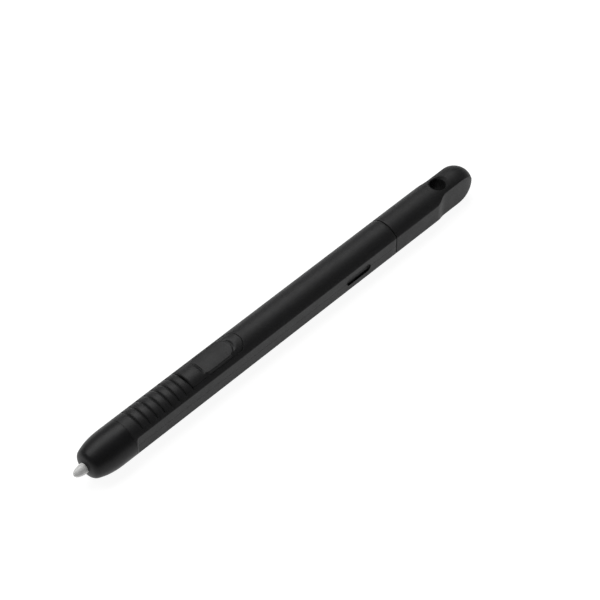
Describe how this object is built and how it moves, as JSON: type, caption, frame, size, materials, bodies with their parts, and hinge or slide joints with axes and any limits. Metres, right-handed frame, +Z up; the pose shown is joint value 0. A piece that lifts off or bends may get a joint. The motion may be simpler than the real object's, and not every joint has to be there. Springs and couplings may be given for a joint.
{
  "type": "digitizer stylus pen",
  "caption": "Slim black digitizer pen for a rugged tablet: ribbed grip, side button, replaceable nib, flatted barrel with latch slots, and an end cap with a tether hole.",
  "frame": {"origin": "middle of the pen's length and width, on the plane of the narrow land it rests on", "axes": "+X from the nib towards the end cap, +Y across the side flats, +Z up through the side button"},
  "size_m": [0.1282, 0.0094, 0.0091],
  "materials": {
    "barrel_plastic": "fine spark texture, satin black",
    "nose_plastic": "smooth semi-gloss black",
    "cap_plastic": "fine spark texture, satin black",
    "button_plastic": "satin black",
    "nib_plastic": "slightly translucent grey",
    "seal_rubber": "matte black",
    "inner_plastic": "moulded black",
    "ivory_plastic": "moulded ivory",
    "ferrite": "ground dark grey",
    "copper": "enamelled copper wire",
    "amber_tape": "amber film tape",
    "board_green": "green solder resist",
    "tin": "tinned metal",
    "white_ceramic": "fired white",
    "tan_ceramic": "tan chip",
    "grey_foam": "open-cell foam"
  },
  "bodies": {
    "barrel": {"upper_housing": "barrel_plastic", "lower_housing": "barrel_plastic", "nose_cone": "nose_plastic", "end_cap": "cap_plastic", "cap_seal_ring": "seal_rubber", "core_washer": "seal_rubber", "ferrite_core": "ferrite", "antenna_coil": "copper", "coil_tape": "amber_tape", "coil_lead_left": "copper", "coil_lead_right": "copper", "pressure_cell_body": "inner_plastic", "pressure_cell_plug": "inner_plastic", "pressure_dielectric": "white_ceramic", "pressure_contact": "tin", "pressure_terminal_left": "tin", "pressure_terminal_right": "tin", "board_tray": "inner_plastic", "circuit_board": "board_green", "switch_body": "ivory_plastic", "trimmer_body": "white_ceramic", "trimmer_rotor": "tin", "chip_capacitor_1": "tan_ceramic", "chip_capacitor_2": "tan_ceramic", "chip_capacitor_3": "tan_ceramic", "chip_capacitor_4": "tan_ceramic", "board_foam": "grey_foam"},
    "button": {"side_button": "button_plastic", "button_rubber": "seal_rubber"},
    "plunger": {"switch_plunger": "inner_plastic"},
    "nib_carrier": {"nib_holder": "ivory_plastic", "pressure_rubber": "seal_rubber"},
    "nib": {"nib": "nib_plastic"}
  },
  "joints": [
    {"name": "button_press", "type": "slide", "parent": "barrel", "child": "button", "axis": [0, 0, -1], "range_m": [0, 0.00035], "stiffness_N_per_m": 4000},
    {"name": "plunger_press", "type": "slide", "parent": "barrel", "child": "plunger", "axis": [0, 0, -1], "range_m": [0, 0.00035]},
    {"name": "nib_press", "type": "slide", "parent": "barrel", "child": "nib_carrier", "axis": [1, 0, 0], "range_m": [0, 0.0004], "stiffness_N_per_m": 4000},
    {"name": "nib_pull", "type": "slide", "parent": "nib_carrier", "child": "nib", "axis": [-1, 0, 0], "range_m": [0, 0.02]}
  ],
  "couplings": [
    {"joint": "plunger_press", "follows": "button_press", "ratio": 1}
  ]
}
